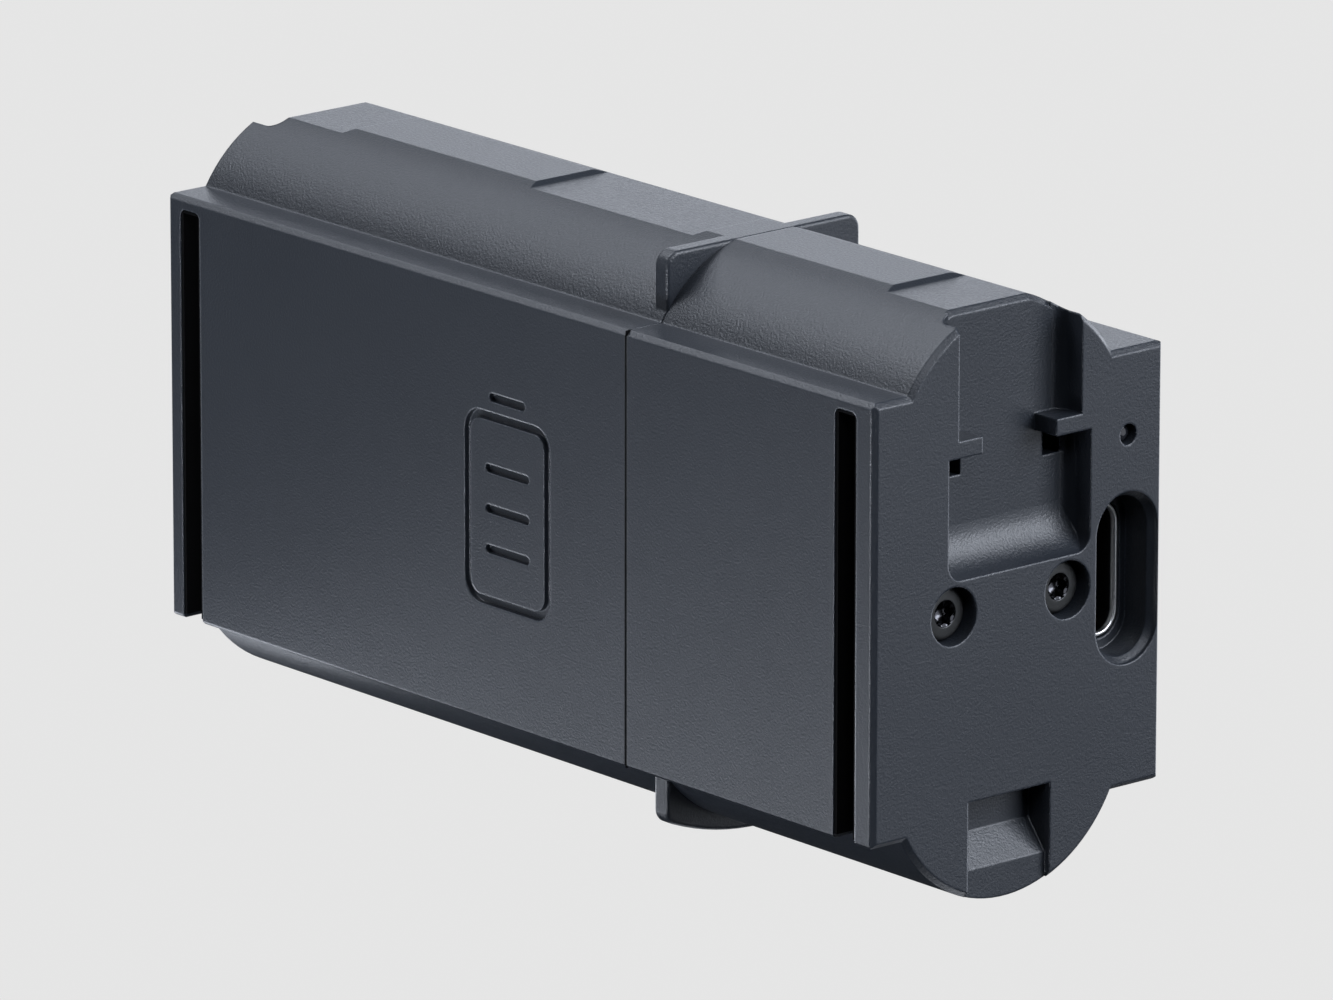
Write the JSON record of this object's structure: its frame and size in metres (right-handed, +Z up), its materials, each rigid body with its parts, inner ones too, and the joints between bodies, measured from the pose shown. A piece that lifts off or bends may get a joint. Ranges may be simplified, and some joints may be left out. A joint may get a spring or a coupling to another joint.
{
  "type": "rechargeable battery pack",
  "caption": "Slide-in rechargeable battery pack: two stacked cylindrical cells in a moulded plastic housing with guide slots, latch recesses and a USB-C charging port.",
  "frame": {"origin": "middle of the front plate's flat outer face, half way along the pack and half way up the plate", "axes": "+X along the cells towards the end with the USB-C port, +Y from the front plate to the rear face, +Z up towards the raised fin's flat top"},
  "size_m": [0.0708, 0.0245, 0.0396],
  "materials": {
    "housing_plastic": "fine moulded texture",
    "liner_rubber": "matt black",
    "screw_black": "glossy black",
    "carrier_plastic": "smooth moulded",
    "can_steel": "nickel plated",
    "seal_plastic": "smooth",
    "electrode_foil": "wound foil and separator",
    "wrap_film": "shrunk film",
    "washer_paper": "plain",
    "nickel_strip": "bare",
    "insulating_film": "amber film",
    "insulating_paper": "pressed",
    "foam": "closed cell",
    "board_laminate": "solder mask",
    "chip_black": "moulded",
    "fuse_ceramic": "matt",
    "capacitor_ceramic": "matt",
    "inductor_ferrite": "matt",
    "shell_steel": "bright drawn",
    "tongue_plastic": "moulded",
    "gold_contact": "gold plated",
    "led_plastic": "clear yellow",
    "light_pipe_plastic": "smoked clear",
    "bead_epoxy": "dipped",
    "wire_insulation": "smooth"
  },
  "bodies": {
    "root": {"left_housing": "housing_plastic", "right_housing": "housing_plastic", "left_slot_liner": "liner_rubber", "right_slot_liner": "liner_rubber", "end_screws": "screw_black", "cell_carrier": "carrier_plastic", "negative_strip": "nickel_strip", "positive_strip": "nickel_strip", "return_strip": "nickel_strip", "return_sleeve": "insulating_film", "insulating_paper": "insulating_paper", "end_foam_pad": "foam", "circuit_board": "board_laminate", "charge_controller": "chip_black", "protection_chip": "chip_black", "power_mosfets": "chip_black", "board_fuse": "fuse_ceramic", "chip_capacitors": "capacitor_ceramic", "chip_resistors": "chip_black", "inductor": "inductor_ferrite", "usb_shell": "shell_steel", "usb_tongue": "tongue_plastic", "usb_pins": "gold_contact", "status_led": "led_plastic", "light_pipe": "light_pipe_plastic", "contact_block": "carrier_plastic", "output_contacts": "gold_contact", "thermistor": "bead_epoxy", "thermistor_wires": "wire_insulation", "upper_cell_can": "can_steel", "upper_cell_seal": "seal_plastic", "upper_electrode_roll": "electrode_foil", "upper_cell_cap": "can_steel", "upper_cell_wrap": "wrap_film", "upper_cell_washer": "washer_paper", "lower_cell_can": "can_steel", "lower_cell_seal": "seal_plastic", "lower_electrode_roll": "electrode_foil", "lower_cell_cap": "can_steel", "lower_cell_wrap": "wrap_film", "lower_cell_washer": "washer_paper"}
  },
  "joints": []
}
